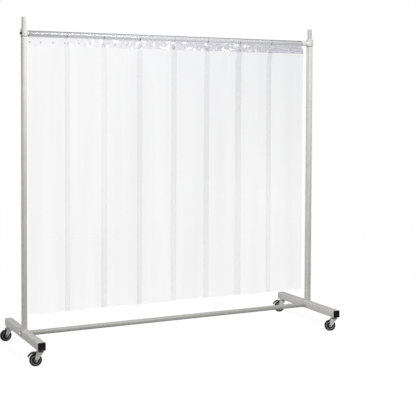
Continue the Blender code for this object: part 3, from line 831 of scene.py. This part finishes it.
# %% [markdown]
# The wheel has a hub, a thin web and a rim of hard plastic with a pale ring near its edge, which is a
# painted highlight on the rim, and a tread of rubber with round shoulders. Both are turned shapes, and the
# web gets ribs.

# %% Wheel and tread
hub, rim = gap / 2 - 0.001, 0.0120
half_wheel = [(0.0043, hub), (0.0100, hub), (0.0110, hub - 0.001), (0.0122, 0.0050), (0.0132, 0.0042),
              (0.0232, 0.0042), (0.0240, 0.0052), (0.0246, rim - 0.001), (0.0252, rim),
              (0.0284, rim), (0.0290, rim - 0.0008)]
wheel = turned("castor_wheel", half_wheel + [(r, -h) for r, h in reversed(half_wheel)], 64, True)
# The pale ring is a painted highlight: its grey stands in for light on the rim.
pale = [(0.0246, rim - 0.0022), (0.0250, rim - 0.0001), (0.0258, rim + 0.0007),
        (0.0272, rim + 0.0007), (0.0280, rim - 0.0001), (0.0280, rim - 0.0022)]
rings = [turned("rim_highlight_ring", pale, 64, True), turned("rim_highlight_ring", [(r, -h) for r, h in pale], 64, True)]
ribs = []
for k in range(6):
    rib = box_piece("rib", (0.0105, -0.0012, -0.0075), (0.0240, 0.0012, 0.0075))
    soften(rib, 0.0005, 1)
    settle(rib, turn=(0, 0, math.radians(60 * k)))
    ribs.append(rib)
looks = [(wheel, wheel_plastic)] + [(ring, rim_highlight_plastic) for ring in rings]
looks += [(rib, wheel_plastic) for rib in ribs]
for piece, look in looks:
    piece.data.materials.append(look)
castor_wheel = done(joined("castor_wheel", [wheel] + rings + ribs))

half_tread = [(0.0293, 0.0120), (0.0325, 0.0129), (0.0352, 0.0130), (0.0372, 0.0124),
              (0.0388, 0.0108), (0.0396, 0.0084), (0.03985, 0.0056), (0.0400, 0.0022)]
whole_tread = half_tread + [(r, -h) for r, h in reversed(half_tread)]
castor_tread = done(turned("castor_tread", whole_tread, 72, True), 50)
print("wheel and tread")

# %% Axle bolt
face = gap / 2 + sheet + 0.0003
shaft = turned("axle_shaft", [(0.0040, -face - 0.001), (0.0040, face + 0.0075), (0.0034, face + 0.0080)], 24)
head = turned("axle_head", [(0.0064, -face), (0.0064, -face - 0.0034), (0.0054, -face - 0.0046),
                            (0.0020, -face - 0.0049)], 6)
nut = turned("axle_nut", [(0.0060, face), (0.0064, face + 0.0006), (0.0064, face + 0.0050),
                          (0.0056, face + 0.0058)], 6)
washer = turned("axle_washer", [(0.0072, face - 0.0001), (0.0074, face + 0.0003),
                                (0.0072, face + 0.0009)], 32)
for piece in (head, nut):
    soften(piece, 0.0004, 2, 25)
castor_axle = done(joined("castor_axle", [shaft, head, nut, washer]), 30)
for piece in (castor_wheel, castor_tread, castor_axle):
    settle(piece, (-trail, 0, wheel_radius), TO_Y)
print("axle bolt")

# %% [markdown]
# Two castors that stand across from each other have a brake: a bent steel lever over the wheel that the
# foot presses down. It is a narrow grid whose rows are laid along the lever's bends, with a narrower grid
# on edge at each side. All three then get the thickness of the sheet.

# %% Brake pedal
lever_path = [(-0.0270, 0.0868), (-0.0340, 0.0892), (-0.0420, 0.0896), (-0.0500, 0.0886), (-0.0580, 0.0860),
              (-0.0650, 0.0810), (-0.0705, 0.0750), (-0.0755, 0.0690), (-0.0795, 0.0640)]      # (x, height)
cheek_depth, cheek_place, lever_width = 0.006, 0.0115, 0.025
above_tyre, tyre_until = 2 * wheel_radius + 0.0008, -0.052


def on_lever(vertex):
    """The place on the lever's path that a grid's vertex belongs to."""
    return lever_path[round((vertex.co.x + 0.5) * (len(lever_path) - 1))]


rest()
bpy.ops.mesh.primitive_grid_add(x_subdivisions=len(lever_path) - 1, y_subdivisions=2, size=1)
lever = piece_here("brake_lever")
cheeks = []
for side in (-1, 1):
    bpy.ops.mesh.primitive_grid_add(x_subdivisions=len(lever_path) - 1, y_subdivisions=1, size=1)
    cheek = piece_here("brake_cheek")
    for vertex in cheek.data.vertices:
        x, z = on_lever(vertex)
        lower = cheek_depth if vertex.co.y < 0 else 0.0
        height = max(z - lower, above_tyre) if x > tyre_until else z - lower
        vertex.co = (x + 0.5 * lower, cheek_place * side, height)
    cheeks.append(cheek)
for vertex in lever.data.vertices:
    x, z = on_lever(vertex)
    vertex.co = (x, lever_width * vertex.co.y, z)
for piece in [lever] + cheeks:
    rest()
    bpy.context.view_layer.objects.active = piece
    piece.select_set(True)
    thick = piece.modifiers.new("sheet", "SOLIDIFY")
    thick.thickness, thick.offset = 0.0026, 0
    bpy.ops.object.modifier_apply(modifier=thick.name)
    soften(piece, 0.0006, 2, 40)
shoe = box_piece("brake_shoe", (-0.0340, -0.0110, 2 * wheel_radius + 0.0004),
                 (-0.0290, 0.0110, 0.0885))
soften(shoe, 0.0006, 2)
castor_brake = done(joined("brake_lever", [lever, shoe] + cheeks))
print("brake lever")

# %% Copy the castor to its four corners
for corner in ("front_left", "back_left", "front_right", "back_right"):
    centre = Vector(joints["castor_%s_swivel" % corner]["pos_m"])
    towards = Vector(joints["wheel_%s_spin" % corner]["pos_m"]) - centre
    turn = math.atan2(-towards.y, -towards.x)
    move = Matrix.Translation((centre.x, centre.y, 0)) @ Matrix.Rotation(turn, 4, "Z")
    fork_body, wheel_body, brake_body = (kind + corner for kind in ("castor_", "wheel_", "brake_"))
    copies = [(castor_plate, "frame", zinc, "zinc_plate", "castor_mount_"),
              (castor_fork, fork_body, zinc, "zinc_plate", "castor_fork_"),
              (castor_axle, fork_body, dark_zinc, "fastener_steel", "castor_axle_"),
              (castor_wheel, wheel_body, wheel_plastic, "wheel_plastic", "castor_wheel_"),
              (castor_tread, wheel_body, tread_rubber, "tyre_rubber", "castor_tyre_")]
    if brake_body in frame["bodies"]:
        copies.append((castor_brake, brake_body, lever_plating_and_shade, "zinc_plate", "castor_brake_pedal_"))
    for master, body, look, slot, node in copies:
        dress(twin(master, "%s_%s" % (master.name, corner), move), body, look, slot, node + corner)
for master in (castor_plate, castor_fork, castor_axle, castor_wheel, castor_tread, castor_brake):
    bpy.data.objects.remove(master, do_unlink=True)
print("four castors")

# %% [markdown]
# ## Curtain strips
# Each strip is one sheet of soft plastic, 300 mm wide but for the first, whose outer edge is cut straight.
# It hangs down in front, goes over the rail and comes down behind as a short flap. Notches in its top let
# the loops sit side by side on the rail, while the sheets overlap below them, even strips in front and odd
# ones behind. Such film is too stiff to fold like cloth: it hangs in long shallow waves, and only the short
# flap puckers between the studs. So the sheet isn't simulated. It is a grid whose rows are laid along that
# path, with waves that all strips share, because they rest against each other.

# %% The path of a sheet over the rail
rail_low, rail_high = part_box("top_rail_tube")
rail_z, rail_radius = (rail_low[Z] + rail_high[Z]) / 2, (rail_high[Z] - rail_low[Z]) / 2
film_thick = 0.0012
stud_drop, flap_drop, shoulder_drop = 0.057, 0.078, 0.080     # below the rail's middle
layer_pitch = 0.0024
loop_radius = rail_radius + 0.0004 + film_thick / 2
hanging_rows, shoulder_rows, slant_rows, loop_rows, flap_rows = 44, 6, 6, 26, 8
front_rows = hanging_rows + shoulder_rows
behind_from = front_rows + slant_rows + loop_rows


def touching_angle(y, side):
    """Where a line from the studs at y touches the loop round the rail, in front or behind."""
    towards = math.atan2(-stud_drop, y)
    spread = math.acos(loop_radius / math.hypot(y, stud_drop))
    return towards + 2 * math.pi - spread if side < 0 else towards + spread


def sheet_path(y, bottom):
    """(y, drop) rows from the bottom edge, over the rail, to the flap's end behind."""
    flap_y = y + layer_pitch
    rows = [(y, bottom - (bottom - shoulder_drop) * k / hanging_rows) for k in range(hanging_rows)]
    rows += [(y, shoulder_drop - (shoulder_drop - stud_drop) * k / shoulder_rows)
             for k in range(shoulder_rows)]
    front, back = touching_angle(y, -1), touching_angle(flap_y, 1)
    start = (loop_radius * math.cos(front), -loop_radius * math.sin(front))
    rows += [(y + (start[0] - y) * k / slant_rows, stud_drop + (start[1] - stud_drop) * k / slant_rows)
             for k in range(slant_rows)]
    angles = [front + (back - front) * k / loop_rows for k in range(loop_rows)]
    rows += [(loop_radius * math.cos(angle), -loop_radius * math.sin(angle)) for angle in angles]
    end = (loop_radius * math.cos(back), -loop_radius * math.sin(back))
    rows += [(end[0] + (flap_y - end[0]) * k / slant_rows, end[1] + (stud_drop - end[1]) * k / slant_rows)
             for k in range(slant_rows)]
    rows += [(flap_y, stud_drop + (flap_drop - stud_drop) * k / flap_rows) for k in range(flap_rows + 1)]
    return rows


bottom_drop = rail_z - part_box("curtain_strip_1")[0][Z]
rows = sheet_path(0.0, bottom_drop)


# %% Waves, notches and puckers
def shared_wave(x, z):
    """How far all strips swing out of their plane together, in metres. Nothing at the studs, most below."""
    free = min(max((rail_z - stud_drop - z) / 1.2, 0.0), 1.0)
    slow = noise.noise(Vector((x * 1.7, z * 0.5, 3.1)))
    quick = noise.noise(Vector((x * 5.5, z * 0.9, 7.7)))
    return free ** 0.8 * (0.012 * slow + 0.0035 * quick)


def half_width(drop, place):
    """Half the sheet's width at a drop. The curtain's first edge is straight, its last notched higher up."""
    narrow, wide = 0.1310, 0.150
    if place == "first":
        return narrow
    start, end = (0.020, stud_drop) if place == "last" else (stud_drop, shoulder_drop)
    share = min(max((drop - start) / (end - start), 0.0), 1.0)
    return narrow + (wide - narrow) * share


stud_places = [-0.122, -0.046, 0.039, 0.122]
leaning = [0.004, 0.004, 0.004, 0.0, 0.001, -0.006, -0.013, -0.011]   # a strip never hangs quite straight
lean_over = 0.11                         # the lean comes in over this drop below the studs
pucker_from = 0.046


def lean_share(u, number, count):
    """How much of the lean a place across the strip takes, so that the curtain's outer edges fit."""
    if number == 1:
        return u
    return 1.6 - 1.2 * u if number == count else 1


def pucker(x, drop, number):
    """How far the flap bulges away between the studs.

    The bulge isn't limited where strips overlap, so there the end of an even strip's flap passes a little
    through the strips beside it.
    """
    gap = min(abs(x - stud) for stud in stud_places) / 0.040
    strength = 0.6 + 0.8 * abs(noise.noise(Vector((number * 3.3, round(x / 0.08) * 1.7, 0.5))))
    below = min(max((drop - pucker_from) / (flap_drop - pucker_from), 0.0), 1.0)
    return strength * 0.0065 * math.sin(math.pi / 2 * min(gap, 1.0)) ** 2 * below ** 1.5


print("waves and puckers ready")


# %% Lay the strips
def lay_strip(number, middle, count):
    rest()
    bpy.ops.mesh.primitive_grid_add(x_subdivisions=30, y_subdivisions=len(rows) - 1, size=1)
    strip = piece_here("strip_%d" % number)
    y = -1.5 * layer_pitch if number % 2 == 0 else 0.5 * layer_pitch
    away = -1 if number % 2 == 0 else 1
    path = sheet_path(y, bottom_drop + 0.002 * math.sin(number * 2.1))
    for vertex in strip.data.vertices:
        u = vertex.co.x + 0.5
        row = round((vertex.co.y + 0.5) * (len(path) - 1))
        y_here, drop = path[row]
        left = -half_width(drop, "first" if number == 1 else "inner")
        right = half_width(drop, "last" if number == count else "inner")
        x = middle + left + (right - left) * u
        z = rail_z - drop
        if row < front_rows:
            free = min(max((drop - stud_drop) / lean_over, 0.0), 1.0)
            x += leaning[number - 1] * free * (3 - 2 * free) * free * lean_share(u, number, count)
            free = min(max(drop - shoulder_drop, 0.0), 1.0)
            y_here += shared_wave(x, z) + away * 0.0022 * free * abs(2 * u - 1) ** 3
            z += 0.0012 * math.sin(9 * u + number) * free
        elif row >= behind_from:
            y_here += pucker(x - middle, drop, number)
        vertex.co = (x, y_here, z)
    return strip


strips = [name for name in frame["bodies"] if name.startswith("strip_")]
strips.sort(key=lambda name: int(name.split("_")[1]))
curtain = []
for body in strips:
    number = int(body.split("_")[1])
    middle = joints[body + "_swing"]["pos_m"][X]
    strip = lay_strip(number, middle, len(strips))
    thick = strip.modifiers.new("film", "SOLIDIFY")
    thick.thickness, thick.offset, thick.material_offset_rim = film_thick, 0, 1
    strip.data.materials.append(film)
    strip.data.materials.append(film_edge_highlight)
    rest()
    bpy.context.view_layer.objects.active = strip
    strip.select_set(True)
    bpy.ops.object.modifier_apply(modifier=thick.name)
    bpy.ops.object.shade_smooth_by_angle(angle=math.radians(50))
    dress(strip, body, film, "clear_pvc", "curtain_strip_%d" % number)
    curtain.append(strip)
print(len(curtain), "strips,", sum(len(strip.data.polygons) for strip in curtain), "faces")

# %% [markdown]
# Press studs hold each loop closed: a domed button in front and a socket behind, pressed through both
# layers. One stud is turned in profile and copied along the row. It rides with its strip.

# %% Press studs
button = [(0.0010, -0.0006), (0.0056, -0.0006), (0.0062, 0.0000), (0.0061, 0.0009), (0.0050, 0.0019),
          (0.0030, 0.0025), (0.0006, 0.0027)]
socket = [(0.0010, -0.0006), (0.0058, -0.0006), (0.0062, 0.0002), (0.0060, 0.0018), (0.0052, 0.0026),
          (0.0040, 0.0026), (0.0036, 0.0016), (0.0024, 0.0014), (0.0022, 0.0028), (0.0005, 0.0030)]
front_master = done(settle(turned("button", button, 24), turn=(math.radians(90), 0, 0)))
back_master = done(settle(turned("socket", socket, 24), turn=(math.radians(-90), 0, 0)))
for strip, body in zip(curtain, strips):
    number = int(body.split("_")[1])
    middle = joints[body + "_swing"]["pos_m"][X]
    y = -1.5 * layer_pitch if number % 2 == 0 else 0.5 * layer_pitch
    halves = []
    for place in stud_places:
        at = (middle + place, y - film_thick / 2, rail_z - stud_drop)
        halves.append(twin(front_master, "button", Matrix.Translation(at)))
        at = (middle + place, y + layer_pitch + film_thick / 2, rail_z - stud_drop)
        halves.append(twin(back_master, "socket", Matrix.Translation(at)))
    studs = joined("press_studs_%d" % number, halves)
    dress(studs, body, stud_plastic, "clear_pvc")
for master in (front_master, back_master):
    bpy.data.objects.remove(master, do_unlink=True)
print("press studs")

# %% [markdown]
# ## Last look
# Imported nodes that no piece replaces get a procedural finish of this scene, by their kind.

# %% Finishes of the imported nodes that stay
staying = {"rail_spigot": zinc, "bottom_rail_plug": zinc, "post_guide": black_plastic}
for name, node in frame["nodes"].items():
    for start, look in staying.items():
        if name.startswith(start):
            node.data.materials.clear()
            node.data.materials.append(look)
print("packed nodes dressed")
